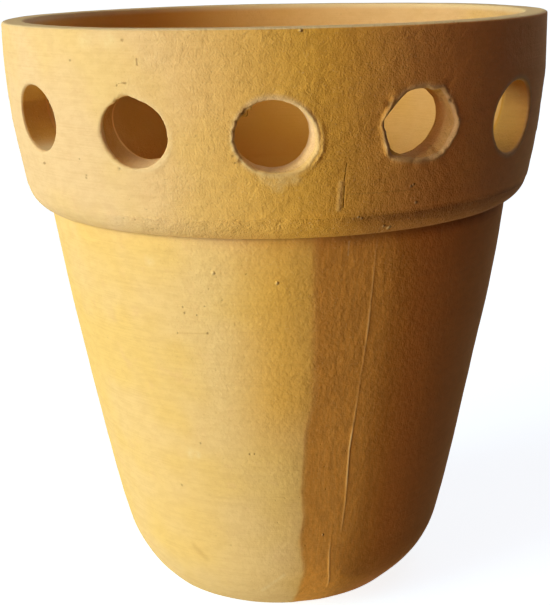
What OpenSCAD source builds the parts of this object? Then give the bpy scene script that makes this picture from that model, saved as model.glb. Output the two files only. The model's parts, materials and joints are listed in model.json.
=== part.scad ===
// Unglazed terracotta planter: a tapered pot with a deep pierced collar luted over its rim.
// Millimetres, +Z up. The origin is the centre of the foot, on the ground.
// Both pieces are turned shapes, drawn as half outlines of [radius, height] points.

/* [Overall] */
// Height from the ground to the top of the lip
height = 263; // [220:1:320]
// Widest diameter, on the collar just below the lip
rim_d = 240; // [230:1:270]

/* [Pot body] */
// How far the wall, where it comes out from under the collar, stands in from the widest line
step_in = 16.25; // [12:0.25:20]
// Outer diameter where the tapered wall turns into the rounded heel
heel_d = 150; // [135:1:165]
// Height of that turn above the ground
heel_h = 31; // [24:1:45]
// How far the wall bulges out from a straight taper
belly = 1.5; // [0.5:0.1:4]
// Diameter of the flat foot
foot_d = 108; // [90:1:120]
// Thickness of the wall
wall = 11; // [7:0.5:14]
// Thickness of the floor
floor_t = 14; // [8:0.5:20]
// Diameter of the drain hole
drain_d = 22; // [12:1:40]

/* [Collar] */
// Height from the collar's lower edge to the top of the lip
collar_h = 80.5; // [73:0.5:95]
// Depth of the widest line below the top of the lip
face_drop = 8; // [5:0.5:12]
// How far the lip's outer edge is rounded in at the top
lip_round = 1; // [0.5:0.5:5]
// Width of the lip, from its inner edge to the widest line
lip_w = 10; // [8:0.5:13]
// Radius that bows the collar's outer face
face_r = 285; // [200:5:400]
// Height of the band that curls in at the collar's lower edge
curl_h = 9; // [8:0.5:16]
// How far the lower edge stands out from the body
overhang = 1.2; // [0.8:0.1:3]
// Height of the collar's skirt that laps the body's rim
lap_h = 14; // [8:0.5:20]
// How far the inside of the collar bows out from a straight taper
throat_bow = 3.7; // [1:0.1:5]

/* [Holes] */
// Number of holes on each side of the one that faces -Y
side_holes = 4; // [0:1:5]
// Angle from one hole to the next, in degrees
hole_pitch = 27.7; // [22:0.1:32]
// Diameter of a hole
hole_d = 29; // [16:0.5:40]
// Depth of the holes' centres below the top of the lip
hole_drop = 38.5; // [32:0.5:46]
// Most that a hand-punched hole strays up or down
stray_up = 2; // [0:0.1:3]
// Most that it strays round the collar, in degrees
stray_round = 1; // [0:0.1:2]

/* [Hidden] */
$fn = 128;

// Each hole's stray as a share of the most, from the hole that faces -Y on towards +X and round
STRAY_UP = [-0.3, 0.8, -0.7, 0.2, -0.5, 0.6, 0.4, -0.2, 0.7, 1, 0];
STRAY_ROUND = [-0.4, 0, -0.5, 0.6, -0.2, 0.3, 0.1, -0.6, 0.2, 1, 0.4];

// Straight steps in one arc of an outline
arc_steps = 10;
// Spare length of a cut past the face that it opens
past = 5;
// Direction of travel straight down an outline, in degrees
down = -90;

rim_r = rim_d / 2;
neck_r = rim_r - step_in;
edge_z = height - collar_h;
seat_z = edge_z + lap_h;
hole_z = height - hole_drop;

// Direction from one point to another
function bearing(p, q) = atan2(q[1] - p[1], q[0] - p[0]);

// Points after p on the arc that leaves p in the direction dir and ends at q
function arc(p, dir, q) =
    let (half = bearing(p, q) - dir, radius = norm(q - p) / (2 * sin(half)))
    [for (i = [1:arc_steps])
        let (a = dir + 2 * half * i / arc_steps)
        p + radius * [sin(a) - sin(dir), cos(dir) - cos(a)]];

// Half the angle that the arc from p to q turns through when its middle bows out by rise
function half_turn(p, q, rise) = 2 * atan(2 * rise / norm(q - p));

// The point at the distance by to the left of p, for travel in the direction dir
function beside(p, dir, by) = p + by * [-sin(dir), cos(dir)];

// The body's outside, from the rim that the collar sits on down to the foot
neck = [neck_r, edge_z];
heel = [heel_d / 2, heel_h];
foot = [foot_d / 2, 0];
neck_dir = bearing(neck, heel) + half_turn(neck, heel, belly);
heel_dir = bearing(neck, heel) - half_turn(neck, heel, belly);
foot_dir = 2 * bearing(heel, foot) - heel_dir;
body_rim = [neck_r + lap_h / tan(neck_dir), seat_z];

// The body's inside is its outside moved in by the wall
neck_in = beside(neck, neck_dir, -wall);
heel_in = beside(heel, heel_dir, -wall);
foot_in = beside(foot, foot_dir, -wall);
body_rim_in = [neck_in[0] + (seat_z - neck_in[1]) / tan(neck_dir), seat_z];
above_rim_in = body_rim_in + past * [1 / tan(neck_dir), 1];

// The collar's outside, from the lip down to its lower edge
lip_top = [rim_r - lip_round, height];
widest = [rim_r, height - face_drop];
face_turn = asin((widest[1] - edge_z - curl_h) / face_r);
face_end = [rim_r - face_r * (1 - cos(face_turn)), edge_z + curl_h];
edge = [neck_r + overhang, edge_z];

// The collar's inside, from the body's rim up to the lip
lip_in = [rim_r - lip_w, height];
throat_dir = bearing(body_rim_in, lip_in) - half_turn(body_rim_in, lip_in, throat_bow);

module cavity() {
    rotate_extrude()
        intersection() {
            polygon(concat(
                [[0, above_rim_in[1]], above_rim_in, neck_in],
                arc(neck_in, neck_dir, heel_in),
                arc(heel_in, heel_dir, foot_in),
                [[foot_in[0], 0], [0, 0]]));
            translate([0, floor_t])
                square([rim_r, height]);
        }
}

module pot_body() {
    color([0.90, 0.72, 0.38])
    difference() {
        rotate_extrude()
            polygon(concat(
                [[0, seat_z], body_rim, neck],
                arc(neck, neck_dir, heel),
                arc(heel, heel_dir, foot),
                [[0, 0]]));
        cavity();
        translate([0, 0, -past])
            cylinder(d = drain_d, h = floor_t + 2 * past);
    }
}

// The cutter of hole i from the one that faces -Y, from the pot's axis out through the collar
module hole(i) {
    stray = (i + len(STRAY_UP)) % len(STRAY_UP);
    azimuth = hole_pitch * i + stray_round * STRAY_ROUND[stray];
    translate([0, 0, hole_z + stray_up * STRAY_UP[stray]])
        rotate([90, 0, azimuth])
            cylinder(d = hole_d, h = rim_r + past);
}

module collar() {
    color([0.91, 0.75, 0.46])
    difference() {
        rotate_extrude()
            polygon(concat(
                [lip_top],
                arc(lip_top, 2 * bearing(lip_top, widest) - down, widest),
                arc(widest, down, face_end),
                arc(face_end, down - face_turn, edge),
                [neck, body_rim, body_rim_in],
                arc(body_rim_in, throat_dir, lip_in)));
        for (i = [-side_holes:side_holes])
            hole(i);
    }
}

pot_body();
collar();
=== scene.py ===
"""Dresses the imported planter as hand-made, unglazed, yellow terracotta.

Outlines, marks and offsets are in millimetres and in degrees round the pot: azimuth 0 faces -Y,
and a positive azimuth lies towards +X. Angles round a hole start at its right side, seen from
outside, and go up first.
"""
import json
import math
from functools import reduce

import bpy
import numpy as np
from mathutils import Matrix, Vector, noise


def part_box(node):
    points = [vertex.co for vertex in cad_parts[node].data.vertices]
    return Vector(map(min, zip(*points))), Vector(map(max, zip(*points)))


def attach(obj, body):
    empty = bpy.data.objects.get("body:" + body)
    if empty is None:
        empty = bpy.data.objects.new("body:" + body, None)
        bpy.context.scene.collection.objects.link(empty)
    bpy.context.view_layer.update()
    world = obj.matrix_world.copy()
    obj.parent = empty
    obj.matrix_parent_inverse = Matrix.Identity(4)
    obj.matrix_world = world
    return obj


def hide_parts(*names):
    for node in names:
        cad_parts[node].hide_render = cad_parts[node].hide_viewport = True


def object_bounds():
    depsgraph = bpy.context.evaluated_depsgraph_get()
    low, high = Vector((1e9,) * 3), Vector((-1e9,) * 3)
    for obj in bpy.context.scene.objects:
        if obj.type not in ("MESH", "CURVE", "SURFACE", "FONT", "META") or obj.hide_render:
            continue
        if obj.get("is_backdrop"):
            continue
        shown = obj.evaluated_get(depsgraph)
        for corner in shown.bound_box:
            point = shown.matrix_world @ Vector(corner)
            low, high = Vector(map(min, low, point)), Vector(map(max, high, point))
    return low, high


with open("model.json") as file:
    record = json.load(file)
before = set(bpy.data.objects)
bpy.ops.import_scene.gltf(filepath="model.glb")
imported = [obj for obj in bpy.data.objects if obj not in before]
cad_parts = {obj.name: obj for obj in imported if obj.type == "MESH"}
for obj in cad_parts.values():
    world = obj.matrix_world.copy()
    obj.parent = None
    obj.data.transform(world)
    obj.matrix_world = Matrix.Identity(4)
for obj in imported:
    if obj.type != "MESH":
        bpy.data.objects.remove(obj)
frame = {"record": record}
cad_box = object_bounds()
scene = bpy.context.scene

MM = 0.001  # one millimetre in metres
DOWN = -90

# ---- sizes that the CAD gives

body_box = [np.array(corner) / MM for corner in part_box("pot_body")]
collar_box = [np.array(corner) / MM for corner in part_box("collar")]
HEIGHT = collar_box[1][2]
EDGE_Z = collar_box[0][2]
SEAT_Z = body_box[1][2]
RIM_R = min(*collar_box[1][:2], *-collar_box[0][:2])


def hole_places():
    """(azimuth, height) of each side hole, from the openings that the record states."""
    places = []
    for opening in frame["record"]["physics"]["openings"]:
        if opening["name"].startswith("side_hole"):
            x, y, z = np.mean(opening["box_m"], axis=0) / MM
            places.append((math.degrees(math.atan2(x, -y)), z))
    return sorted(places)


# ---- sizes as the CAD has them

STEP_IN = 16.25
HEEL = (75, 31)
FOOT = (54, 0)
BELLY = 1.5
WALL = 11
FLOOR_T = 14
DRAIN_R = 11
FACE_DROP = 8
LIP_W = 10
FACE_R = 285
CURL_H = 9
OVERHANG = 1.2
THROAT_BOW = 3.7

# How softly the clay's corners are rounded
LIP_SOFT = 1.6
EDGE_SOFT = 0.9
FOOT_SOFT = 4
DRAIN_SOFT = 2
FLOOR_SOFT = 9
JOINT_SOFT = 48

# ---- outlines, as (radius, height)


def heading(p, q):
    """Direction from one outline point to another, in degrees."""
    return math.degrees(math.atan2(q[1] - p[1], q[0] - p[0]))


def arc(p, start, q, steps):
    """Outline points after p on the arc that leaves p in the direction start and ends at q."""
    half = heading(p, q) - start
    radius = math.dist(p, q) / (2 * math.sin(math.radians(half)))
    first = math.radians(start)
    turns = np.radians(start + 2 * half * np.arange(1, steps + 1) / steps)
    return [(p[0] + radius * (math.sin(a) - math.sin(first)),
             p[1] + radius * (math.cos(first) - math.cos(a))) for a in turns]


def half_turn(p, q, rise):
    """Half the angle that the arc from p to q turns through when its middle bows out by rise."""
    return math.degrees(2 * math.atan(2 * rise / math.dist(p, q)))


def beside(p, start, by):
    """The point at the distance by to the left of p, for travel in the direction start."""
    a = math.radians(start)
    return (p[0] - by * math.sin(a), p[1] + by * math.cos(a))


def soft_corner(before, corner, after, radius, steps=5):
    """Outline points that round a corner, from the side of before to the side of after."""
    a, c, b = (np.array(p, float) for p in (before, corner, after))
    to_a, to_b = (a - c) / np.linalg.norm(a - c), (b - c) / np.linalg.norm(b - c)
    opening = math.acos(max(-1, min(1, float(to_a @ to_b))))
    reach = radius / math.tan(opening / 2)
    p, q = c + to_a * reach, c + to_b * reach
    return [tuple((1 - t) ** 2 * p + 2 * t * (1 - t) * c + t * t * q)
            for t in np.linspace(0, 1, steps + 1)]


def spaced(points, step):
    """The outline through the points, with points about every step millimetres."""
    line = np.array(points, float)
    along = np.concatenate([[0], np.cumsum(np.linalg.norm(np.diff(line, axis=0), axis=1))])
    at = np.linspace(0, along[-1], max(2, round(along[-1] / step) + 1))
    return [(np.interp(s, along, line[:, 0]), np.interp(s, along, line[:, 1])) for s in at]


def points_on(radius, heights):
    """Outline points at these heights, from a function that gives the radius at a height."""
    return [(float(radius(z)), z) for z in heights]


def radius_at(points):
    """A function that gives an outline's radius at a height."""
    line = np.array(sorted(points, key=lambda p: p[1]))
    return lambda z: np.interp(z, line[:, 1], line[:, 0])


NECK_R = RIM_R - STEP_IN
neck = (NECK_R, EDGE_Z)
neck_dir = heading(neck, HEEL) + half_turn(neck, HEEL, BELLY)
heel_dir = heading(neck, HEEL) - half_turn(neck, HEEL, BELLY)
foot_dir = 2 * heading(HEEL, FOOT) - heel_dir
body_rim = (NECK_R + (SEAT_Z - EDGE_Z) / math.tan(math.radians(neck_dir)), SEAT_Z)
neck_in = beside(neck, neck_dir, -WALL)
heel_in = beside(HEEL, heel_dir, -WALL)
foot_in = beside(FOOT, foot_dir, -WALL)
body_rim_in = (neck_in[0] + (SEAT_Z - neck_in[1]) / math.tan(math.radians(neck_dir)), SEAT_Z)

lip_edge = (RIM_R - 0.1, HEIGHT)
widest = (RIM_R, HEIGHT - FACE_DROP)
face_turn = math.degrees(math.asin((widest[1] - EDGE_Z - CURL_H) / FACE_R))
face_end = (RIM_R - FACE_R * (1 - math.cos(math.radians(face_turn))), EDGE_Z + CURL_H)
edge = (NECK_R + OVERHANG, EDGE_Z)
lip_in = (RIM_R - LIP_W, HEIGHT)
throat_dir = heading(body_rim_in, lip_in) - half_turn(body_rim_in, lip_in, THROAT_BOW)

lip_corner = soft_corner(widest, lip_edge, lip_in, LIP_SOFT, 6)
face_arc = [widest] + arc(widest, DOWN, face_end, 40)
curl_arc = [face_end] + arc(face_end, DOWN - face_turn, edge, 20)
throat_arc = [body_rim_in] + arc(body_rim_in, throat_dir, lip_in, 40)
outer_radius = radius_at([lip_corner[0]] + face_arc + curl_arc[1:])
inner_radius = radius_at(throat_arc)
body_inner = [neck_in] + arc(neck_in, neck_dir, heel_in, 40) + arc(heel_in, heel_dir, foot_in, 40)
# Inside, the joint is smeared over: the corner where the two clays meet is one soft bend
joint_bend = soft_corner(neck_in, body_rim_in, throat_arc[4], JOINT_SOFT, 8)
inside = radius_at([p for p in body_inner if p[1] < joint_bend[0][1]] + joint_bend)

# ---- small numeric helpers


def smooth(t):
    """0 below 0, 1 above 1 and an even S between."""
    t = np.clip(t, 0, 1)
    return t * t * (3 - 2 * t)


def between(value, low, low_reach, high, high_reach):
    """0 at low, 1 from low_reach past it to high_reach before high, and 0 at high."""
    return smooth((value - low) / low_reach) * smooth((high - value) / high_reach)


def near(turn, middle, reach):
    """1 at the angle middle, falling smoothly to 0 at reach degrees to either side."""
    return smooth(1 - np.abs((turn - middle + 180) % 360 - 180) / reach)


def hump(distance, width):
    """A bell of height 1 and the given width."""
    return np.exp(-(distance / width) ** 2)


def lumps(points, size, octaves=1, seed=0):
    """Smooth noise from about -1 to 1 with features of that size, in millimetres."""
    stretched = np.asarray(points) / np.asarray(size) + seed
    return np.array([noise.fractal(Vector(p), 1, 2, octaves) for p in stretched])


def uneven(points, rows):
    """Lumps from a table of (height, size, octaves, seed) rows."""
    return sum(tall * lumps(points, size, octaves, seed) for tall, size, octaves, seed in rows)


def round_pot(azimuth, radius, height):
    """Points on the pot at these azimuths, radii and heights."""
    a = np.radians(azimuth)
    radius, height = np.broadcast_to(radius, a.shape), np.broadcast_to(height, a.shape)
    return np.stack([radius * np.sin(a), -radius * np.cos(a), height], axis=-1)


def at_height(rows, height, column=1):
    """What a table of (height, value...) rows, from the top down, gives at each height."""
    low_first = np.array(rows)[::-1]
    return np.interp(height, low_first[:, 0], low_first[:, column])


def stray(rows, azimuth, height):
    """How far the skin strays out, from a table of (height, at -X, at +X) rows."""
    left, right = at_height(rows, height), at_height(rows, height, 2)
    return left + (right - left) * (1 + np.sin(np.radians(azimuth))) / 2


FAR = 99  # the offset of a point that is far from every hole


class Skin:
    """A closed clay skin under construction: its points, its quads and what each point lies on."""

    def __init__(self):
        self.points, self.tags, self.quads, self.count = [], [], [], 0

    def add(self, points, zone, hole=-1, turn=0, offset=FAR):
        """Adds points and returns their numbers. offset is how far outside its hole a point lies."""
        n = len(points)
        tags = np.zeros(n, [("zone", int), ("hole", int), ("turn", float), ("offset", float)])
        tags["zone"], tags["hole"], tags["turn"], tags["offset"] = zone, hole, turn, offset
        self.points.append(np.asarray(points, float))
        self.tags.append(tags)
        self.count += n
        return np.arange(self.count - n, self.count)

    def strip(self, ring, after):
        """Joins two closed rings of the same length with quads."""
        self.quads.append(np.stack([ring, np.roll(ring, -1), np.roll(after, -1), after], axis=1))
        return after

    def turned(self, azimuth, outline, zones):
        """Adds a ring for each outline point. azimuth gives the ring's azimuths from its height."""
        return [self.add(round_pot(azimuth(z), r, z), zone) for (r, z), zone in zip(outline, zones)]

    def joined(self, rings):
        """Joins each ring to the next one."""
        for ring, after in zip(rings, rings[1:]):
            self.strip(ring, after)

    def finished(self):
        """The points, tags and quads as arrays, with the quads facing out."""
        points, tags = np.concatenate(self.points), np.concatenate(self.tags)
        quads = np.concatenate(self.quads)
        a, b, c, d = (points[quads[:, k]] for k in range(4))
        if (a * np.cross(b, c) + a * np.cross(c, d)).sum() < 0:
            quads = quads[:, ::-1]
        return points, tags, quads


def normals(points, quads):
    """The unit normal at each point."""
    a, b, c, d = (points[quads[:, k]] for k in range(4))
    faces = np.cross(c - a, d - b)
    total = np.zeros_like(points)
    for k in range(4):
        np.add.at(total, quads[:, k], faces)
    return total / np.maximum(np.linalg.norm(total, axis=1), 1e-9)[:, None]


def piece(name, points, quads, marks, material):
    """A smooth mesh object from millimetre points. marks are its named shares from 0 to 1."""
    mesh = bpy.data.meshes.new(name)
    mesh.from_pydata((points * MM).tolist(), [], quads.tolist())
    mesh.polygons.foreach_set("use_smooth", np.ones(len(quads), bool))
    for mark, share in marks.items():
        attribute = mesh.attributes.new(mark, "FLOAT", "POINT")
        attribute.data.foreach_set("value", np.clip(share, 0, 1).astype(np.float32))
    mesh.materials.append(material)
    thing = bpy.data.objects.new(name, mesh)
    scene.collection.objects.link(thing)
    return thing


# ---- the collar's holes

# Where a point lies: the outside, the lip, the inside, a hole's wall, or a face that doesn't show
FACE, LIP, THROAT, BORE, HIDDEN = range(5)

# The half sizes of a plain hole, and how round its edge is worn
HOLE_W, HOLE_H, HOLE_SOFT = 15.6, 14, 0.9
# The waves of a hole's edge as (how many times finer, share), and the size of the coarsest
EDGE_WAVES, EDGE_WAVE = ((4, 1), (15, 0.7), (38, 0.5)), 3


def cut(w=HOLE_W, h=HOLE_H, shift=(0, 0), lean=(0, 0), rough=0.10, churn=0,
        soft=(), flare=(), bead=(), tear=(), burr=()):
    """A hole: its half width and height, how far right and up its outer end is shifted and its inner
    end leans, how rough its edge is and how lumpy (churn) the clay round it. Rows of the lists start
    with a middle angle and a reach. Then soft (a worn edge) and flare (a bevel) have how much, bead
    has offset, height, width, tear has height, offset, and burr has height, depth, width."""
    return locals()


# The hole that faces -Y: leaning bore, raised rings at the right and a torn upper left
FRONT_HOLE = cut(
    w=14.3, h=13.7, shift=(-0.1, -0.25), lean=(-1.3, -0.3), rough=0.2, churn=0.16,
    soft=[(-25, 75, 0.9), (185, 75, 0.5)],
    bead=[(-10, 80, 1.3, 0.3, 0.45), (-14, 62, 2.9, 0.5, 0.5), (35, 40, 1, 0.35, 0.5),
          (215, 60, 0.9, 0.2, 0.6), (180, 40, 1, 0.2, 0.6)],
    tear=[(137, 16, -0.9, 0.2), (204, 7, -0.7, 0.8), (216, 7, -0.8, 1), (158, 5, -0.5, 0.6),
          (172, 5, -0.5, 0.5), (188, 5, -0.5, 0.6), (140, 14, -0.2, -2)],
    flare=[(138, 13, -0.4), (-25, 75, 1.3)],
    burr=[(141, 12, 2.1, 2, 1.6), (129, 6, 1.3, 1, 1)])
# Torn flaps at the left, a ragged bevel at the right
RIGHT_HOLE = cut(
    w=13.9, h=13.2, shift=(-1.1, -0.1), lean=(1.2, -0.5), rough=0.28, churn=0.4,
    soft=[(-20, 70, 0.3), (168, 42, 1.2)],
    flare=[(-8, 75, 3.2), (-55, 45, 1.4), (52, 20, 1.4), (152, 26, -1.2), (222, 30, 1.6)],
    bead=[(168, 30, 2.3, 0.9, 0.8), (146, 22, 2.6, 1, 0.7), (62, 24, 1.2, 1.1, 0.7),
          (-25, 75, 1.2, 0.5, 0.7), (240, 60, 1.6, 0.4, 0.9), (200, 30, 1.4, 0.6, 0.9)],
    tear=[(158, 22, -1.1, 0.9), (180, 14, -1, 0.7), (28, 6, -0.7, 0.7), (195, 9, -0.6, 0.8),
          (150, 9, -0.6, 3.4)])
# Clean, scored inside at its upper left
FAR_RIGHT_HOLE = cut(w=16, h=14.8, churn=0.09, soft=[(180, 60, 0.4)],
                     tear=[(128, 12, -0.5, -2.6), (118, 10, -0.5, -4.4), (108, 9, 0.5, -3.4)])
# A worn left edge, a chip at the top and a low bead at the lower right
LEFT_HOLE = cut(
    w=14.6, h=13.2, shift=(-0.3, -0.4), lean=(-3, 1), rough=0.14, churn=0.14,
    soft=[(190, 60, 1.3), (100, 32, 0.9)], flare=[(122, 8, -0.4), (98, 30, 0.9)],
    bead=[(-35, 70, 2, 0.25, 1.1), (235, 30, 1.6, 0.3, 0.9)],
    tear=[(118, 6, -0.3, 0.5), (240, 5, -0.5, 2.6)])
FAR_LEFT_HOLE = cut(h=13.3, shift=(-1.7, 0), soft=[(-90, 60, 1.1)])


def side_hole(pick):
    """A hole that the front doesn't show, cut and torn by chance."""
    return cut(w=pick(15, 16.4), h=pick(13.5, 14.6), lean=tuple(pick(-1.4, 1.4, 2)),
               rough=pick(0.08, 0.2), churn=pick(0.02, 0.14),
               soft=[(pick(0, 360), pick(40, 80), pick(0.3, 1.2))],
               bead=[(pick(0, 360), pick(30, 80), pick(0.9, 2.4), pick(0.15, 0.5), pick(0.5, 0.9))
                     for _ in range(2)],
               tear=[(pick(0, 360), pick(8, 18), -pick(0.4, 1), pick(0.8, 2))])


def collar_holes():
    """Each hole's place and its own marks, from the far left round the front to the far right."""
    pick = np.random.default_rng(7).uniform
    made = [side_hole(pick), side_hole(pick), FAR_LEFT_HOLE, LEFT_HOLE, FRONT_HOLE,
            RIGHT_HOLE, FAR_RIGHT_HOLE, side_hole(pick), side_hole(pick)]
    return [hole | {"azimuth": azimuth, "z": height, "seed": 3.7 * number}
            for number, (hole, (azimuth, height)) in enumerate(zip(made, hole_places()))]


def around(hole, turn):
    """The hole's radius at each angle, with its unevenness."""
    a = np.radians(turn)
    w, h = hole["w"], hole["h"]
    circle = np.stack([np.cos(a), np.sin(a), np.full_like(a, hole["seed"])], axis=1)
    waves = sum(share * lumps(circle * finer, EDGE_WAVE, seed=finer) for finer, share in EDGE_WAVES)
    return w * h / np.hypot(h * np.cos(a), w * np.sin(a)) + hole["rough"] * waves


def burrs(hole, turn, deep):
    """How far torn clay stands out of the hole's wall at each angle, that deep in the hole."""
    return sum(tall * near(turn, middle, reach) * hump(deep - at, wide)
               for middle, reach, tall, at, wide in hole["burr"])


def amount(marks, turn):
    """The sum of the (middle, reach, amount) marks at each angle."""
    return sum(much * near(turn, middle, reach) for middle, reach, much in marks)


# ---- the collar

BAND_LOW, BAND_HIGH = 203, 246  # heights between which the mesh closes in on the holes
SECTOR_COLUMNS, BAND_ROWS, BACK_SECTORS = 40, 30, 4
# Rings round a hole, from its sector's frame inwards
FAR_RINGS = (0.3, 0.58, 0.82)  # shares of the way
NEAR_RINGS = (1.35, 1.9, 2.5, 3.2, 4.2)  # distances
OUT_BENDS, IN_BENDS = (0, 22, 45, 68, 90), (90, 60, 30, 0)  # angles round the bore's two edges
BORE_RINGS = (0.04, 0.09, 0.15, 0.21, 0.28, 0.36, 0.45, 0.55, 0.66, 0.78, 0.9)  # shares
THROAT_RINGS = (0.15, 0.4, 0.7)
FLARE_DEPTH = 2.9  # how deep a broken-out bevel goes
RAGGED, SOFT_RAGGED, RAGGED_SIZE = 0.35, 0.525, 0.25  # how uneven it and the worn edge are
PAST_MARKS = 30  # an offset out of reach of the hole's marks, for its inner edge
# Steps between the outline's points, in millimetres
FACE_STEP, LIP_STEP, CURL_STEP, LAP_STEP = 1.5, 1.1, 0.95, 4
LIP_POINTS, THROAT_POINTS = 8, 9  # points from the band up to the lip, outside and inside
LIP_GAP_OUT, LIP_GAP_IN = 0.8, 3.5  # how far from the lip those points end
LIP_TURN = 3  # points of the lip's rounded corner that still belong to the face
SMEAR_ROOM = 1.4  # how far the body's rim keeps behind the smeared joint
# The smear over the joint, as (height above the collar's edge, how far out of the soft bend)
SMEAR = ((0.2, 0.5), (1, 0.15), (2.2, -0.05), (4, -0.12), (6, -0.1))


def sector_starts(holes):
    """The azimuths that part the collar: a sector round each hole, then the plain back's."""
    centres = np.array([hole["azimuth"] for hole in holes])
    half = np.mean(np.diff(centres)) / 2
    first, last = centres[0] - half, centres[-1] + half
    back = np.linspace(last, first + 360, BACK_SECTORS + 1)[:-1]
    return np.concatenate([[first], (centres[1:] + centres[:-1]) / 2, back])


def collar_skin(holes):
    """The collar's closed skin, with rings of quads fitted round every hole."""
    skin = Skin()
    left = sector_starts(holes)
    right = np.append(left[1:], left[0] + 360)
    share = np.arange(SECTOR_COLUMNS) / SECTOR_COLUMNS
    azimuth = np.concatenate([a + (b - a) * share for a, b in zip(left, right)])
    over_rings, under_rings = (skin.turned(lambda z: azimuth, *outline)
                               for outline in (over_the_lip(), under_the_band()))
    skin.joined(over_rings)
    skin.joined(under_rings[::-1])

    heights = np.linspace(BAND_LOW, BAND_HIGH, BAND_ROWS + 1)[1:-1]
    sides = ((outer_radius, FACE, over_rings[0], under_rings[0]),
             (inner_radius, THROAT, over_rings[-1], under_rings[-1]))
    walls = [[skin.add(round_pot(np.full(len(heights), a), radius(heights), heights), zone)
              for a in left] for radius, zone, _, _ in sides]
    for number in range(len(left)):
        cells = (number * SECTOR_COLUMNS + np.arange(SECTOR_COLUMNS + 1)) % len(azimuth)
        after = (number + 1) % len(left)
        frames = []
        for (radius, zone, top, bottom), wall in zip(sides, walls):
            edges = (bottom[cells], wall[after], top[cells], wall[number])
            if number < len(holes):
                frames.append(np.concatenate([*edges[:2], edges[2][::-1], edges[3][::-1]]))
            else:
                fill(skin, edges, azimuth[cells[1:-1]], heights, radius, zone)
        if frames:
            pierce(skin, number, holes[number], *frames)
    return skin.finished()


def fill(skin, edges, azimuth, heights, radius, zone):
    """Fills a sector of the band that has no hole with a plain grid."""
    bottom, right, top, left = edges
    grid = np.empty((len(heights) + 2, len(bottom)), int)
    grid[0], grid[-1], grid[1:-1, 0], grid[1:-1, -1] = bottom, top, left, right
    for row, height in enumerate(heights, start=1):
        grid[row, 1:-1] = skin.add(round_pot(azimuth, float(radius(height)), height), zone)
    quads = np.stack([grid[:-1, :-1], grid[:-1, 1:], grid[1:, 1:], grid[1:, :-1]], axis=-1)
    skin.quads.append(quads.reshape(-1, 4)[:, ::-1 if zone == THROAT else 1])


def joined_up(parts):
    """One outline and each of its points' zone, from (points, zone) parts."""
    return ([p for points, _ in parts for p in points],
            [zone for points, zone in parts for _ in points])


def over_the_lip():
    """The outline from the top of the band, over the lip, to the band's top inside."""
    below_lip = points_on(inner_radius, [HEIGHT - FACE_DROP])[0]
    corner = soft_corner(below_lip, lip_in, lip_edge, LIP_SOFT)
    face_top = lip_corner[0][1] - LIP_GAP_OUT
    face = points_on(outer_radius, np.linspace(BAND_HIGH, face_top, LIP_POINTS))
    lip = spaced([lip_corner[-1], corner[-1]], LIP_STEP)[1:-1]
    throat = points_on(inner_radius, np.linspace(HEIGHT - LIP_GAP_IN, BAND_HIGH, THROAT_POINTS))
    return joined_up(((face + lip_corner[:LIP_TURN], FACE),
                      (lip_corner[LIP_TURN:] + lip + corner[::-1], LIP), (throat, THROAT)))


def behind_joint(heights):
    """Hidden outline points at these heights, clear of the smeared joint."""
    return [(radius + SMEAR_ROOM, z) for radius, z in points_on(inside, heights)]


def under_the_band():
    """The outline from the foot of the band, round the lower edge and the lap, to the inside."""
    face = spaced([p for p in face_arc if p[1] < BAND_LOW], FACE_STEP)
    face = points_on(outer_radius, [BAND_LOW]) + face[1:]
    rounded = soft_corner(curl_arc[-4], edge, neck, EDGE_SOFT)
    curl = spaced([p for p in curl_arc[1:] if p[0] > rounded[0][0]], CURL_STEP)
    behind = behind_joint((SEAT_Z, SEAT_Z - 5, EDGE_Z + 3))
    lap = spaced([neck, body_rim, *behind], LAP_STEP)
    smear = [(float(inside(EDGE_Z + up)) + out, EDGE_Z + up) for up, out in SMEAR]
    bend = [p for p in joint_bend if p[1] > smear[-1][1] + 0.5]
    throat = points_on(inner_radius, np.linspace(BAND_LOW, bend[-1][1], 3)[-2::-1])
    return joined_up(((face + curl + rounded, FACE), (lap, HIDDEN), (smear + bend + throat, THROAT)))


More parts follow.
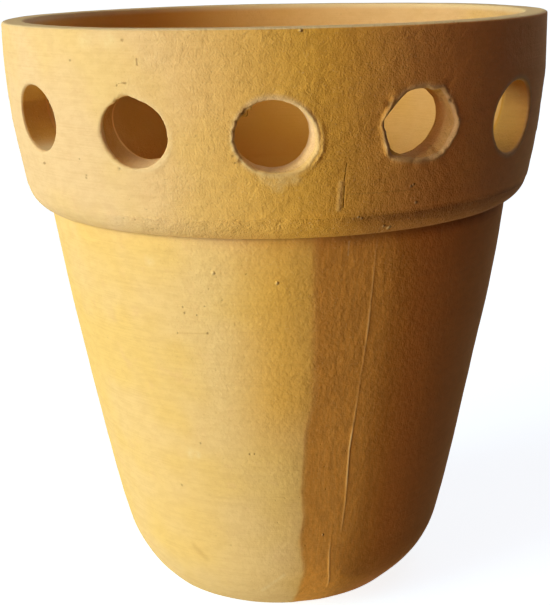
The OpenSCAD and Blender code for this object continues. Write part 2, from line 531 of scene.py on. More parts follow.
def pierce(skin, number, hole, frame_out, frame_in):
    """Fills one sector of the band with rings that close in on the hole and go through it."""
    a = math.radians(hole["azimuth"])
    cos, sin = math.cos(a), math.sin(a)
    done = np.concatenate(skin.points)
    centre = np.array([hole["shift"][0], hole["z"] + hole["shift"][1]])
    centre_in = np.array(hole["lean"]) + [0, hole["z"]]

    def flat(ring):
        """The ring seen along the hole: (to the right, up)."""
        x, y, z = done[ring].T
        return np.stack([x * cos + y * sin, z], axis=1)

    def surface(at, radius):
        """How far from the axis's plane the skin of that radius lies at these places."""
        return np.sqrt(radius(at[:, 1]) ** 2 - at[:, 0] ** 2)

    far_out, far_in = flat(frame_out), flat(frame_in)
    turn = np.degrees(np.arctan2(*(far_out - centre).T[::-1]))
    ray = np.stack([np.cos(np.radians(turn)), np.sin(np.radians(turn))], axis=1)
    rim = around(hole, turn)
    ragged = lumps(np.column_stack([ray, 0 * turn]), RAGGED_SIZE, seed=hole["seed"])
    flare = amount(hole["flare"], turn) * (1 + RAGGED * ragged)
    soft = HOLE_SOFT + amount(hole["soft"], turn) * (1 + SOFT_RAGGED * ragged)

    def ring_out(offset):
        return centre + ray * (rim + flare + offset)[:, None]

    def ring_in(offset):
        return centre_in + ray * (rim + offset)[:, None]

    def add(ring, at, depth, zone, offset):
        """Joins a new ring to the ring, seen at these places and that far from the pot's axis."""
        x, z = at.T
        points = np.stack([x * cos + depth * sin, x * sin - depth * cos, z], axis=1)
        return skin.strip(ring, skin.add(points, zone, number, turn, offset))

    ring = frame_out
    nearest = ring_out(NEAR_RINGS[-1])
    for share in FAR_RINGS:
        at = far_out + (nearest - far_out) * share
        gap = np.linalg.norm(at - centre, axis=1) - rim - flare
        ring = add(ring, at, surface(at, outer_radius), FACE, gap)
    for offset in NEAR_RINGS[::-1]:
        away = soft - HOLE_SOFT + offset
        at = ring_out(away)
        ring = add(ring, at, surface(at, outer_radius), FACE, away)
    for bend in np.radians(OUT_BENDS):
        at = ring_out(soft * (1 - math.sin(bend)))
        depth = surface(at, outer_radius) - soft * (1 - math.cos(bend))
        ring = add(ring, at, depth, FACE, soft * (1 - math.sin(bend)))
    start, end = ring_out(0), ring_in(0)
    deep_start = surface(start, outer_radius) - soft
    deep_end = surface(end, inner_radius) + HOLE_SOFT
    for share in BORE_RINGS:
        depth = deep_start + (deep_end - deep_start) * share
        funnel = flare * np.minimum((deep_start - depth) / FLARE_DEPTH, 1)
        inwards = funnel - flare * share + burrs(hole, turn, deep_start - depth)
        at = start + (end - start) * share - ray * inwards[:, None]
        ring = add(ring, at, depth, BORE, depth - deep_start)
    for bend in np.radians(IN_BENDS):
        offset = HOLE_SOFT * (1 - math.sin(bend))
        at = ring_in(offset)
        depth = surface(at, inner_radius) + HOLE_SOFT * (1 - math.cos(bend))
        ring = add(ring, at, depth, THROAT, PAST_MARKS + offset)
    nearest = ring_in(HOLE_SOFT)
    for share in THROAT_RINGS:
        at = nearest + (far_in - nearest) * share
        ring = add(ring, at, surface(at, inner_radius), THROAT, FAR)
    skin.strip(ring, frame_in)


# The skin's unevenness, as (height, size, octaves, seed), and the same for the turning tool's lines
COLLAR_UNEVEN = ((0.28, 70, 1, 1), (0.07, (14, 14, 9), 2, 9))
COLLAR_LINES = ((0.035, (60, 60, 2.6), 2, 4),)
COLLAR_SUNK = 0.12  # how far the skin stays behind the CAD's
# How far the hand-finished collar strays out of the turned profile, as (height, at -X, at +X)
COLLAR_STRAY = ((262, 0, 0.2), (258, 0, 0.4), (250, 0.1, 0.7), (232, -0.1, 0.3), (219, 0, 0.15),
                (205, 0, 0.4), (200, 0.1, 0.4), (190, 0.2, 0.2), (182, 0.2, 0.1))
LIP_THICKER = (-85, 70, 1.6)  # where the wall is thicker at the lip: azimuth, reach and by how much
CREASE_UP, CREASE_TALL = 0.5, 0.3  # the face ends in a low step, that far above the curl
SPOT, COARSE, STREAK, STREAK_R = 2.2, 5, 1.5, 3  # sizes of the lumps round and in a hole
CHURN_REACH, CHURN_DEEP = 9, 4  # how far outside and inside a hole the clay is churned
TEAR_W = 0.8  # width of a tear


def hole_relief(points, tags, hole):
    """How far the points round a hole stand out, and how pale and how dark they are."""
    turn, offset = tags["turn"], tags["offset"]
    spot = lumps(points, SPOT, 2, hole["seed"])
    coarse = lumps(points, COARSE, 2, hole["seed"] + 2)
    rise = hole["churn"] * coarse * smooth(1 - offset / CHURN_REACH) * (offset > -CHURN_DEEP)
    pale, dark = np.zeros((2, len(points)))
    for middle, reach, away, tall, wide in hole["bead"]:
        bead = near(turn, middle, reach) * hump(offset - away, wide)
        rise += tall * bead * (1 + 0.55 * spot)
        pale += 0.35 * bead
    for middle, reach, deep, away in hole["tear"]:
        pit = near(turn, middle, reach) * hump(offset - away, TEAR_W)
        rise += deep * pit * (0.8 + 0.7 * spot)
        dark += pit * (0.6 + 0.5 * spot)
    wall = tags["zone"] == BORE
    across = np.radians(turn[wall])
    along = np.stack([STREAK_R * np.cos(across), STREAK_R * np.sin(across), offset[wall]], axis=1)
    streak = lumps(along, STREAK, 2, seed=hole["seed"])
    rise[wall] += hole["churn"] * 0.6 * streak * smooth(-offset[wall])
    return rise, pale, dark


def collar_relief(points, tags, holes):
    """How far each point of the collar stands out along its normal, and its colour marks."""
    azimuth = np.degrees(np.arctan2(points[:, 0], -points[:, 1]))
    height = points[:, 2]
    face, lip, throat, bore = (tags["zone"] == zone for zone in (FACE, LIP, THROAT, BORE))
    rise = uneven(points, COLLAR_UNEVEN) + uneven(points, COLLAR_LINES) * face - COLLAR_SUNK
    pale, dark = np.zeros((2, len(points)))
    for number, hole in enumerate(holes):
        mine = tags["hole"] == number
        more, pale[mine], dark[mine] = hole_relief(points[mine], tags[mine], hole)
        rise[mine] += more
    crease = EDGE_Z + CURL_H + CREASE_UP + 0.6 * lumps(points, 30, seed=2)
    step = between(height, crease, 1.4, crease + 9, 9)
    rise += (CREASE_TALL * step + stray(COLLAR_STRAY, azimuth, height)) * face
    middle, reach, thicker = LIP_THICKER
    rise += thicker * near(azimuth, middle, reach) * smooth((height - 240) / 20) * throat
    rise *= tags["zone"] != HIDDEN

    curl = smooth((crease - height) / 1.5) * face
    turn = np.radians(tags["turn"])
    # The bores' upper left walls face away from the lamps and get painted shade
    upper_left = bore * smooth(0.45 + 0.9 * np.cos(turn - math.radians(150)))
    # The bores' bottoms; in the left holes they get a painted highlight
    bottom = bore * smooth(-0.2 - np.sin(turn - math.radians(20)))
    plain = face * (1 - 0.8 * smooth((3 - tags["offset"]) / 2.5))
    # The deeper inside tone gives way to the paler clay at the throat's upper right and right back,
    # where the lamps light it: painted light
    rightness = 0.5 + 0.5 * np.sin(np.radians(azimuth))
    inner = 1 - 0.75 * smooth((height - 240) / 12) * rightness
    return rise, {
        # pale: the beads' own paler clay, with a painted highlight on the lip and on the left holes'
        # bore bottoms
        "pale": pale + 0.8 * lip + bottom * (azimuth < -40), "dark": dark,
        # Painted shade on the upper left bore walls of the left holes and on the curl's right side
        "damp": 0.6 * upper_left * (azimuth < -10) + 0.8 * curl * between(azimuth, 2, 20, 90, 30),
        # Painted shade tints: deeper and redder over the front and right, turned from the lamps, and in
        # the bores
        "russet": 0.7 * between(azimuth, 3, 34, 125, 70) * plain,
        "ochre": near(azimuth, 10, 46) * plain + 0.9 * upper_left + 0.5 * bore * (azimuth > 10),
        "pink": 0.25 * curl * near(azimuth, -10, 70) + 0.6 * lip + 0.6 * bore,
        "sandy": sandiness(azimuth, points) * (1 + 0.9 * curl) + 0.2 * bore,
        "inside": throat * inner * (1 - 0.5 * between(azimuth, 80, 20, 180, 40))}


def sandiness(azimuth, points):
    """How sandy the skin is. The turning tool has smoothed it at the left and low down."""
    front = between(azimuth, -48, 34, 75, 30)
    patches = smooth(0.5 + 0.9 * lumps(points, 55, seed=12))
    sandy = 0.50 * np.maximum(front, patches * (np.abs(azimuth) > 75))
    sandy *= 1 + 0.35 * lumps(points, 17, seed=14)
    return 0.10 + sandy * (0.35 + 0.65 * smooth((points[:, 2] - 50) / 90))


# ---- the body

BODY_STEP = 0.74  # degrees between plain columns
FINE_AT, FINE_REACH, FINE_STEP = (7, 15.2, 20), 0.9, 0.14  # where columns are close together
OUTSIDE_STEP, INSIDE_STEP = 1.7, 5

# Marks down the body as (height, azimuth) rows: the flat's left side and the two seam ridges
FLAT_SIDE = ((183, 7.3), (112, 7.5), (96, 5.8), (73, 5.2), (53, 5.8), (42, 4.7), (26, 6.2), (12, 5.1))
LONG_RIDGE = ((183, 22.3), (168, 21.9), (142, 21.45), (122, 20.7), (101, 19.8), (86, 18.95),
              (61, 19.05), (43, 18.5))
SHORT_RIDGE = ((44, 15.2), (34, 14.9), (26, 15.3), (14, 16.6))
FLAT_PAST, FLAT_SHARE = 6, 0.95  # the flat goes on that far past the ridge, and how flat it is
RIDGE_W, RIDGE_TALL = 0.48, 0.20
# How strongly the long ridge stands out, as (height, share)
LONG_RIDGE_SHARE = ((181, 0), (177, 0.35), (168, 0.45), (158, 0.6), (150, 0.75), (140, 0.8), (132, 0.5),
                    (120, 0.3), (112, 0.4), (104, 0.7), (96, 0.9), (88, 1.2), (76, 1.05), (62, 0.8),
                    (50, 0.8), (43, 0))
# The same of the body
BODY_UNEVEN = ((0.3, 75, 1, 6), (0.07, (16, 16, 11), 2, 3))
BODY_LINES = ((0.03, (70, 70, 4.5), 2, 8),)
BODY_STRAY = ((182, -0.4, 0.3), (170, -0.4, 0.6), (157, -0.2, 0.8), (135, 0, 0.75), (122, 0, 0.4),
              (108, 0.1, 0.1), (90, 0.3, 0), (62, 0.75, 0.1), (42, 0.9, 0), (30, 0.6, -0.2),
              (20, 0.4, -0.5), (5, -0.2, -0.3), (0, 0.1, 0.1))
GROOVE = 0.6  # depth of the groove right under the collar
HEEL_SHIFT, HEEL_SHIFT_TOP = -2.1, 20  # the foot lies off centre, by that much along X
HEEL_SHIFT_R = 25  # how far from the axis the shift starts


def body_columns():
    """Azimuths of the body's columns, closer together along the marks."""
    azimuth = [-180]
    while azimuth[-1] < 180 - 1.5 * BODY_STEP:
        gap = min(abs(azimuth[-1] - at) for at in FINE_AT)
        azimuth.append(azimuth[-1] + min(BODY_STEP, FINE_STEP + max(0, gap - FINE_REACH) * 0.3))
    return np.array(azimuth)


def leaned(azimuth, height):
    """Moves the columns sideways so that the fine ones run along the marks at this height."""
    flat = at_height(FLAT_SIDE, height) - FINE_AT[0]
    ridge = at_height(LONG_RIDGE, height) - FINE_AT[2]
    low = float(smooth((60 - height) / 10))
    short = low * (at_height(SHORT_RIDGE, height) - FINE_AT[1]) + (1 - low) * (flat + ridge) / 2
    return azimuth + np.interp(azimuth, (-10, *FINE_AT, 38), (0, flat, short, ridge, 0))


def body_outline():
    """The body's whole closed outline from the rim down the outside, and each point's zone."""
    foot_corner = soft_corner(HEEL, FOOT, (0, 0), FOOT_SOFT, 7)
    wall = [neck] + arc(neck, neck_dir, HEEL, 60) + arc(HEEL, heel_dir, FOOT, 30)
    wall = [p for p in wall if p[1] > foot_corner[0][1] + 0.3]
    outside = spaced(wall, OUTSIDE_STEP)
    drain_low = soft_corner((FOOT[0], 0), (DRAIN_R, 0), (DRAIN_R, FLOOR_T), DRAIN_SOFT, 4)
    drain_high = soft_corner((DRAIN_R, 0), (DRAIN_R, FLOOR_T), (HEEL[0], FLOOR_T), DRAIN_SOFT, 4)
    floor_r = float(inside(FLOOR_T))
    inner = [p for p in body_inner if p[1] > FLOOR_T + 5]
    floor_corner = soft_corner((DRAIN_R, FLOOR_T), (floor_r, FLOOR_T), inner[-1], FLOOR_SOFT * 0.5)
    upward = [p for p in inner if p[1] > floor_corner[-1][1] + 1][::-1]
    upward = spaced(upward + points_on(inside, [EDGE_Z + 3]), INSIDE_STEP)
    behind = behind_joint((EDGE_Z + 6, SEAT_Z - 4, SEAT_Z))

    def straight(start, end):
        """The points between two ends."""
        return spaced([start, end], INSIDE_STEP)[1:-1]

    return joined_up((
        ([body_rim] + straight(body_rim, neck), HIDDEN), (outside + foot_corner, FACE),
        (straight(foot_corner[-1], drain_low[0]) + drain_low, FACE),
        (drain_high + straight(drain_high[-1], floor_corner[0]) + floor_corner + upward, THROAT),
        (behind + straight(behind[-1], body_rim), HIDDEN)))


def body_skin():
    """The body's closed skin."""
    skin = Skin()
    azimuth = body_columns()
    rings = skin.turned(lambda z: leaned(azimuth, z), *body_outline())
    skin.joined(rings + rings[:1])
    return skin.finished()


def body_relief(points, tags):
    """How far each point of the body stands out along its normal, and its colour marks."""
    azimuth = np.degrees(np.arctan2(points[:, 0], -points[:, 1]))
    height, radius = points[:, 2], np.hypot(points[:, 0], points[:, 1])
    face, throat = tags["zone"] == FACE, tags["zone"] == THROAT
    rise = uneven(points, BODY_UNEVEN)
    rise += (uneven(points, BODY_LINES) + stray(BODY_STRAY, azimuth, height)) * face
    wobble = lumps(points, (9, 9, 6), 2, seed=7.5) * (0.25 + 0.3 * smooth((80 - height) / 20))
    to_left = at_height(FLAT_SIDE, height) + wobble
    to_right = at_height(LONG_RIDGE, height) + FLAT_PAST - 4 * smooth((46 - height) / 10)
    middle, half = (to_left + to_right) / 2, (to_right - to_left) / 2
    flat = 1 - np.cos(np.radians(half)) / np.cos(np.radians(np.clip(azimuth - middle, -half, half)))
    depth = radius * flat
    softer = smooth((azimuth - to_left) / (to_right - to_left)) + 0.35 * smooth((height - 90) / 50)
    rise -= FLAT_SHARE * depth ** 2 / (depth + 0.12 + 1.5 * softer) * face
    long_ridge, short_ridge = (
        hump((azimuth - at_height(rows, height)) * radius * math.radians(1), RIDGE_W)
        for rows in (LONG_RIDGE, SHORT_RIDGE))
    long_ridge *= at_height(LONG_RIDGE_SHARE, height) * (1 + 0.4 * lumps(points, 9, 2, seed=2.5))
    ridges = (long_ridge + 0.7 * short_ridge * between(height, 12, 5, 46, 12)) * face
    rise += RIDGE_TALL * ridges
    rise *= np.where(throat, 1, smooth((EDGE_Z - height) / 3))
    rise -= GROOVE * smooth(1 - (EDGE_Z - height) / 4) * face
    resting = (height < 0.05) & face
    rise *= ~resting & (tags["zone"] != HIDDEN)

    below = EDGE_Z - height + 0.8 * lumps(points, 6, seed=4.4)
    on_flat = smooth((azimuth - to_left + 1) / 3)
    above = 0.83 * smooth((azimuth + 17) / 18) * smooth((height - 70) / 45)
    # Painted shade: a shadow under the collar's edge, thin all round and wider on the right, and darker
    # towards the foot on the right
    damp = np.maximum(smooth(1 - below / 6) * between(azimuth, 2, 14, 80, 30),
                      0.7 * smooth(1 - below / 1.4))
    damp += 0.5 * smooth((40 - height) / 25) * between(azimuth, 16, 12, 80, 30)
    # Painted shade tints: deeper and redder over the flat and the right side, turned from the lamps
    redder = on_flat * (0.45 + 0.4 * smooth((azimuth - 22) / 18)) * smooth((125 - azimuth) / 70)
    return rise, {
        "pale": 0.6 * ridges, "brushed": near(azimuth, 18, 22) * face, "russet": redder * face,
        "ochre": np.maximum(on_flat, above) * smooth((46 - azimuth) / 16) * face,
        "damp": damp * face,
        "pink": 0.55 * smooth((height - 168) / 12) * near(azimuth, 8, 45) * face,
        "sandy": sandiness(azimuth, points), "inside": throat.astype(float)}


# ---- materials


ROLL_R = 100  # the radius of the pot that marks are laid out on


class Nodes:
    """Short calls that build the node tree of a material or a world."""

    def __init__(self, owner):
        owner.use_nodes = True
        self.tree = owner.node_tree
        self.tree.nodes.clear()

    def add(self, kind, inputs=(), **settings):
        """A shader node of that kind. inputs are (socket, value or another node's output)."""
        node = self.tree.nodes.new("ShaderNode" + kind)
        for key, value in settings.items():
            setattr(node, key, value)
        for socket, value in inputs:
            if isinstance(value, bpy.types.NodeSocket):
                self.tree.links.new(value, node.inputs[socket])
            else:
                node.inputs[socket].default_value = value
        return node

    def math(self, operation, values):
        """The values taken together two at a time."""
        return reduce(lambda a, b: self.add("Math", ((0, a), (1, b)), operation=operation).outputs[0],
                      values)

    def total(self, *values):
        return self.math("ADD", values)

    def times(self, *values):
        return self.math("MULTIPLY", values)

    def most(self, *values):
        return self.math("MAXIMUM", values)

    def vector(self, operation, a, b, out=0):
        return self.add("VectorMath", ((0, a), (1, b)), operation=operation).outputs[out]

    def scaled(self, a, factor):
        return self.add("VectorMath", ((0, a), (3, factor)), operation="SCALE").outputs[0]

    def stretched(self, place, x, y, z):
        """The place with features that many times longer along each axis."""
        return self.vector("MULTIPLY", place, (1 / x, 1 / y, 1 / z))

    def noise(self, place, size, detail=2, roughness=0.55):
        """Noise from 0 to 1 with features of that size in millimetres."""
        return self.add("TexNoise", (("Vector", place), ("Scale", 1 / size), ("Detail", detail),
                                     ("Roughness", roughness))).outputs[0]

    def ramp(self, value, low, high, to_low=0, to_high=1, kind="SMOOTHSTEP"):
        """The value moved from low..high to to_low..to_high, smoothly, and kept there."""
        return self.add("MapRange", ((0, value), (1, low), (2, high), (3, to_low), (4, to_high)),
                        interpolation_type=kind).outputs[0]

    def blend(self, share, a, b):
        """A colour between a and b."""
        return self.add("Mix", ((0, share), (6, a), (7, b)), data_type="RGBA").outputs[2]

    def mark(self, name):
        """A mark of the mesh, from 0 to 1. A mark that the mesh doesn't have is 0."""
        return self.add("Attribute", attribute_name=name).outputs["Fac"]

    def seen(self):
        """1 on rays from the camera and on mirrored and passing ones, 0 on scattered ones."""
        path = self.add("LightPath").outputs
        return self.most(*(path[f"Is {kind} Ray"] for kind in ("Camera", "Glossy", "Transmission")))

    def unrolled(self, place):
        """The point as (millimetres round a pot of radius ROLL_R, height, 0)."""
        x, y, z = self.add("SeparateXYZ", ((0, place),)).outputs
        round_it = self.math("ARCTAN2", (x, self.times(y, -1)))
        return self.add("CombineXYZ", ((0, self.times(round_it, ROLL_R)), (1, z))).outputs[0]

    def spots(self, flat, spots):
        """1 at the middle of each (azimuth, height, size) spot, 0 past its size."""
        result = 0
        for *middle, size in spots:
            gap = self.vector("DISTANCE", flat, rolled(*middle), "Value")
            result = self.most(result, self.ramp(gap, 0, size, 1, 0))
        return result

    def strokes(self, flat, strokes):
        """1 along each (azimuth, height, azimuth, height, half width) stroke, 0 beside it."""
        result = 0
        for *ends, width in strokes:
            start = rolled(*ends[:2])
            axis = np.subtract(rolled(*ends[2:]), start)
            offset = self.vector("SUBTRACT", flat, start)
            share = self.vector("DOT_PRODUCT", offset, tuple(axis / (axis @ axis)), "Value")
            nearest = self.scaled(tuple(axis), self.ramp(share, 0, 1, kind="LINEAR"))
            gap = self.vector("DISTANCE", offset, nearest, "Value")
            result = self.most(result, self.ramp(gap, 0, width, 1, 0))
        return result


def rolled(azimuth, height):
    """Where a place on the pot lies once it is unrolled."""
    return (math.radians(azimuth) * ROLL_R, height, 0)


def colour(*rgb):
    """An sRGB colour from 0 to 255 as a linear one."""
    return tuple(((v / 255 + 0.055) / 1.055) ** 2.4 for v in rgb) + (1,)


INSIDE_TONES = (colour(241, 188, 104), colour(238, 183, 90))
SHADE, MOTTLE = colour(184, 128, 62), 0.10  # the clay's darker tone, and how much of it mottles it
OCHRE, RUSSET = colour(239, 182, 76), colour(246, 160, 84)  # tints painted as shade: deeper and redder where the pot turns from the lamps
DAMP = colour(146, 92, 42)  # painted shade under the collar's edge, on the curl's right and on the bores' shaded walls
# Rubbed clay, pits and torn edges
WORN, PIT, TORN = colour(246, 222, 172), colour(122, 76, 28), colour(104, 58, 22)
# Sizes of grain, with how tall it is where the skin is smooth and where it is roughest
COLLAR_GRIT = ((0.7, (0.03, 0.48)), (1.6, (0.05, 0.27)), (3.4, (0.05, 0.42)), (7, (0.05, 0.95)))
BODY_GRIT = ((0.75, (0.01, 0.15)), (1.7, (0.04, 0.22)), (3.4, (0.07, 0.32)), (6.5, (0.10, 0.36)))


def clay(name, base, yellow, pink, pale, grit, marks):
    """Fired, unglazed clay. The colours are sRGB; grit and marks are tables like the collar's."""
    material = bpy.data.materials.new(name)
    n = Nodes(material)
    base, yellow, pink, pale = (colour(*tone) for tone in (base, yellow, pink, pale))
    place = n.scaled(n.add("TexCoord").outputs["Object"], 1 / MM)
    broad, middle, fine = n.noise(place, 48, 2), n.noise(place, 9, 3), n.noise(place, 2.4, 3)
    grain = n.noise(place, grit[0][0], 2.5, 0.6)
    sandy, brushed = n.mark("sandy"), n.mark("brushed")
    flat, outside = n.unrolled(place), n.math("SUBTRACT", (1, n.mark("inside")))
    smears = n.noise(n.stretched(place, 1, 1, 7), 1.8, 3)
    lines = n.noise(n.stretched(place, 40, 40, 1), 0.8, 2)

    def where(kind, shapes):
        """1 on the spots or strokes of that kind of mark, outside the pot."""
        return n.times(shapes(flat, marks[kind]), outside)

    bloom, scuffs = where("bloom", n.spots), where("scuffs", n.strokes)
    grains, raised = where("grains", n.spots), where("raised", n.strokes)
    stray_pits = n.times(n.ramp(n.noise(place, 1.7, 1), 0.20, 0.27, 0.6, 0), outside,
                         n.ramp(n.noise(place, 26), 0.54, 0.64))
    pits = n.most(where("pits", n.spots), stray_pits, where("cuts", n.strokes))

    tone = n.blend(n.ramp(broad, 0.4, 0.66, 0, 0.75), base, yellow)
    blush = n.total(n.times(n.mark("pink"), 0.85), n.ramp(middle, 0.52, 0.75, 0, 0.35))
    layers = (
        (n.ramp(blush, 0, 1), pink),
        # Painted shade tints, deeper and redder where the pot turns from the lamps
        (n.mark("ochre"), OCHRE),
        (n.mark("russet"), RUSSET),
        (n.ramp(n.noise(n.stretched(place, 2, 2, 1), 3, 3, 0.6), 0.36, 0.62, MOTTLE, 0), SHADE),
        (n.ramp(lines, 0.34, 0.54, 0.06, 0), SHADE),
        (n.times(n.ramp(smears, 0.4, 0.62, 0.4, 0.1), brushed), SHADE),
        # Painted shade under the collar and on the holes' shaded walls
        (n.times(n.mark("damp"), 0.75), DAMP),
        # Paler clay, with a painted highlight on the collar's lip and bore bottoms
        (n.ramp(n.mark("pale"), 0, 1, 0, 0.8), pale),
        (n.mark("inside"), n.blend(n.ramp(broad, 0.4, 0.66), *INSIDE_TONES)),
        (n.most(n.times(bloom, n.ramp(fine, 0.35, 0.7, 0.15, 0.6)),
                n.times(scuffs, n.ramp(fine, 0.3, 0.6, 0.15, 0.36))), WORN),
        (n.times(n.ramp(grain, 0.3, 0.42, 0.25, 0), n.ramp(sandy, 0, 1, 0.3, 1)), SHADE),
        (n.times(n.ramp(grain, 0.58, 0.75, 0, 0.45), sandy), pale),
        (n.times(where("stains", n.strokes), 0.24), SHADE),
        (n.times(pits, 0.45), PIT),
        (n.ramp(n.mark("dark"), 0, 1, 0, 0.85), TORN),
        (n.times(n.most(grains, n.times(raised, 0.4)), 0.5), pale))
    for share, over in layers:
        tone = n.blend(share, tone, over)

    height = n.total(
        n.times(grain, n.ramp(sandy, 0, 1, *grit[0][1])),
        *(n.times(n.noise(place, size, 2), n.ramp(sandy, 0, 1, *tall)) for size, tall in grit[1:]),
        n.times(lines, n.ramp(sandy, 0, 0.6, 0.17, 0.02)), n.times(smears, brushed, 0.12),
        n.times(pits, -0.22), n.times(grains, 0.6), n.times(raised, 0.22))
    bump = n.add("Bump", (("Strength", 1), ("Distance", MM), ("Height", height)))
    shader = n.add("BsdfPrincipled", (
        ("Base Color", tone), ("Roughness", n.ramp(fine, 0.2, 0.8, 0.82, 0.96)),
        ("Specular IOR Level", 0.28), ("Normal", bump.outputs[0])))
    n.add("OutputMaterial", (("Surface", shader.outputs[0]),))
    return material


FLOOR_SIZE, FLOOR_LIFT = 30, 0.85  # in metres, and how much light is added where it is seen


def floor_paint():
    """A pale floor. The camera sees it lifted to white, with the object's shadow kept."""
    material = bpy.data.materials.new("floor_paint")
    n = Nodes(material)
    seen = n.seen()
    paint = n.blend(seen, (0.02, 0.01, 0.01, 1), (0.42, 0.6, 0.95, 1))
    matt = n.add("BsdfDiffuse", (("Color", paint),))
    lift = n.add("Emission", (("Strength", n.times(seen, FLOOR_LIFT)),))
    both = n.add("AddShader", ((0, matt.outputs[0]), (1, lift.outputs[0])))
    n.add("OutputMaterial", (("Surface", both.outputs[0]),))
    return material


# ---- camera, light and floor

# The photo's viewpoint: 288 mm up and 591 mm from the pot's axis, looking down and tilted a little
CAMERA_AT = (0, -591.4, 288.25)
CAMERA_TURNS = ((0.214, "Z"), (90 - 15.077, "X"), (-1.212, "Z"))
LENS, SENSOR = 76.83, 36
SUN_UNIT = math.pi  # a sun of this strength shows a facing surface as its colour is written
# Lamps as (name, azimuth, elevation, strength, tint, softness)
LAMPS = (("low_sun", -60, 5, 0.67, (0.86, 1, 0.93), 42),
         ("window", -75, -20, 0.38, (0.83, 1, 0.95), 30),
         ("high_sun", -60, 30, 0.33, (1, 0.96, 0.50), 30),
         ("front_sun", -30, 10, 0.155, (1, 0.32, 0.08), 40),
         ("bounce", -58, -48, 0.42, (1, 0.80, 0.32), 50),
         ("overhead", 80, 78, 0.06, (0.9, 0.9, 0.8), 40),
         ("side_fill", 130, 35, 0.08, (0.9, 0.8, 0.9), 60),
         ("back_fill", 165, 28, 0.11, (1, 0.80, 0.6), 60))
FILL, FILL_TINT = 0.006, (1, 0.45, 0.25, 1)  # light from all round


def make_camera():
    """The scene's camera."""
    data = bpy.data.cameras.new("camera")
    data.lens, data.sensor_width = LENS, SENSOR
    camera = bpy.data.objects.new("camera", data)
    place = Matrix.Translation(Vector(CAMERA_AT) * MM)
    for angle, axis in CAMERA_TURNS:
        place @= Matrix.Rotation(math.radians(angle), 4, axis)
    camera.matrix_world = place
    scene.collection.objects.link(camera)
    scene.camera = camera


def sun(name, azimuth, elevation, strength, tint, softness):
    """A soft lamp far away, as seen from the pot."""
    data = bpy.data.lights.new(name, "SUN")
    data.energy, data.color, data.angle = strength * SUN_UNIT, tint, math.radians(softness)
    lamp = bpy.data.objects.new(name, data)
    a, e = math.radians(azimuth), math.radians(elevation)
    towards = Vector((math.sin(a) * math.cos(e), -math.cos(a) * math.cos(e), math.sin(e)))
    lamp.rotation_euler = towards.to_track_quat("Z", "Y").to_euler()
    scene.collection.objects.link(lamp)


def make_world(fill, tint):
    """Pale where it is seen, and a low warm fill on everything else."""
    world = bpy.data.worlds.new("world")
    scene.world = world
    n = Nodes(world)
    unseen, pale = n.add("Background", (("Color", tint), ("Strength", fill))), n.add("Background")
    mix = n.add("MixShader", ((0, n.seen()), (1, unseen.outputs[0]), (2, pale.outputs[0])))
    n.add("OutputWorld", (("Surface", mix.outputs[0]),))


def make_floor():
    """A wide flat floor under the foot."""
    bpy.ops.mesh.primitive_plane_add(size=FLOOR_SIZE)
    floor = bpy.context.active_object
    floor.name = "floor"
    floor.data.materials.append(floor_paint())
    floor.visible_shadow = False
    floor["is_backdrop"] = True


# ---- the pieces


BOX_ROOM = 0.02  # how far the clay keeps inside the CAD's widest radius


def moved_out(points, quads, rise):
    """The points moved out by rise along their normals, but held inside the CAD's own box."""
    points = points + normals(points, quads) * rise[:, None]
    radius = np.hypot(points[:, 0], points[:, 1])
    points[:, :2] *= np.minimum(1, (RIM_R - BOX_ROOM) / np.maximum(radius, 1))[:, None]
    points[:, 2] = np.clip(points[:, 2], 0, HEIGHT)
    return points


def make_collar(material):
    holes = collar_holes()
    points, tags, quads = collar_skin(holes)
    rise, marks = collar_relief(points, tags, holes)
    points = moved_out(points, quads, rise)
    made = piece("collar_clay", points, quads, marks, material)
    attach(made, "root")
    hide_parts("collar")


def make_body(material):
    points, tags, quads = body_skin()
    rise, marks = body_relief(points, tags)
    wall = smooth(np.hypot(points[:, 0], points[:, 1]) / HEEL_SHIFT_R - 1) * (tags["zone"] == FACE)
    points[:, 0] += HEEL_SHIFT * smooth(1 - points[:, 2] / HEEL_SHIFT_TOP) * wall
    points = moved_out(points, quads, rise)
    made = piece("pot_body_clay", points, quads, marks, material)
    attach(made, "root")
    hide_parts("pot_body")


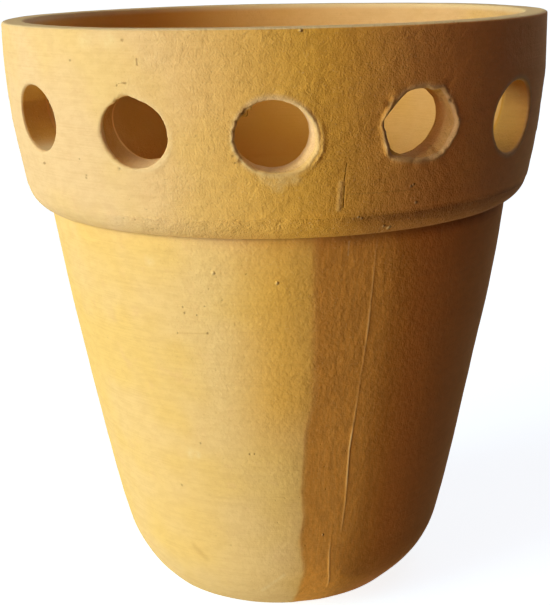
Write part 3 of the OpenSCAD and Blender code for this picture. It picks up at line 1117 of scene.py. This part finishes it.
# Single marks: spots as (azimuth, height, size), and strokes as two ends and a half width
COLLAR_MARKS = {
    "pits": ((-27.9, 258.9, 0.9), (-40.7, 250.8, 0.8), (-40.6, 204.9, 0.9), (-40.4, 205.9, 0.8),
             (-41.6, 212.3, 0.6), (-7.9, 216.6, 0.8), (-7.5, 214, 0.7)),
    "bloom": ((-36.3, 258.5, 5), (-31, 259, 5), (23.1, 185.3, 1.5)),
    "grains": ((4.5, 261.9, 0.9), (23.1, 185.2, 1.2), (21.7, 186.2, 0.8), (26.3, 201.7, 0.9),
               (26.9, 202.3, 0.7), (15.7, 191.2, 0.7), (16.4, 190.6, 0.7), (27.8, 195, 1)),
    "cuts": ((-25, 250, -25.1, 252.2, 0.5), (12.95, 212.5, 12.7, 209.6, 0.35),
             (12.75, 208.9, 12.6, 206.4, 0.35), (12.65, 203.8, 12.6, 195.5, 0.4)),
    "raised": ((11.9, 205.5, 11.6, 194.9, 1.5),),
    "stains": ((13.2, 200.6, 29, 200.2, 0.5), (13.2, 239.3, 14.25, 242.1, 0.9)),
    "scuffs": ((-2.4, 208.6, 0.2, 204.6, 3.4), (-0.2, 206.6, 3.2, 207.4, 3.4))}
BODY_MARKS = {
    "pits": ((-23.1, 152.3, 0.7), (-22.8, 149.8, 0.8), (-17.5, 153.5, 0.6), (-19.7, 149.3, 0.6),
             (-25.4, 140.5, 0.5), (-17.4, 141.7, 0.8), (-31.7, 66.9, 0.9), (-23.1, 89.9, 0.8),
             (-9, 86.6, 0.8), (-7.7, 86.7, 0.6)),
    "bloom": ((-30.7, 170.4, 3.4), (-26.6, 83.7, 4), (-24.6, 83.9, 3)),
    "grains": ((12.4, 44.5, 0.9), (-14.8, 167.9, 1.1), (-0.5, 164, 1.1)),
    "cuts": (),
    "raised": (),
    "stains": ((14.6, 96.6, 13.5, 77.4, 1.6), (-25.4, 140.6, -17.4, 141.6, 0.6),
               (-31.6, 35.4, -27.6, 29.7, 3)),
    "scuffs": ((-8.7, 13.7, -0.4, 24, 1.9), (15.5, 174, 15.6, 179.5, 0.6))}

scene.view_settings.view_transform = "Standard"
make_camera()
make_floor()
for lamp in LAMPS:
    sun(*lamp)
make_world(FILL, FILL_TINT)
make_collar(clay("clay_collar", (239, 204, 159), (239, 203, 139), (236, 194, 150),
                 (249, 226, 184), COLLAR_GRIT, COLLAR_MARKS))
make_body(clay("clay_body", (241, 205, 144), (241, 202, 122), (239, 194, 143),
               (249, 222, 167), BODY_GRIT, BODY_MARKS))

sizes = {"cad": [list(corner) for corner in cad_box],
         "visual": [list(corner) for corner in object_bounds()]}
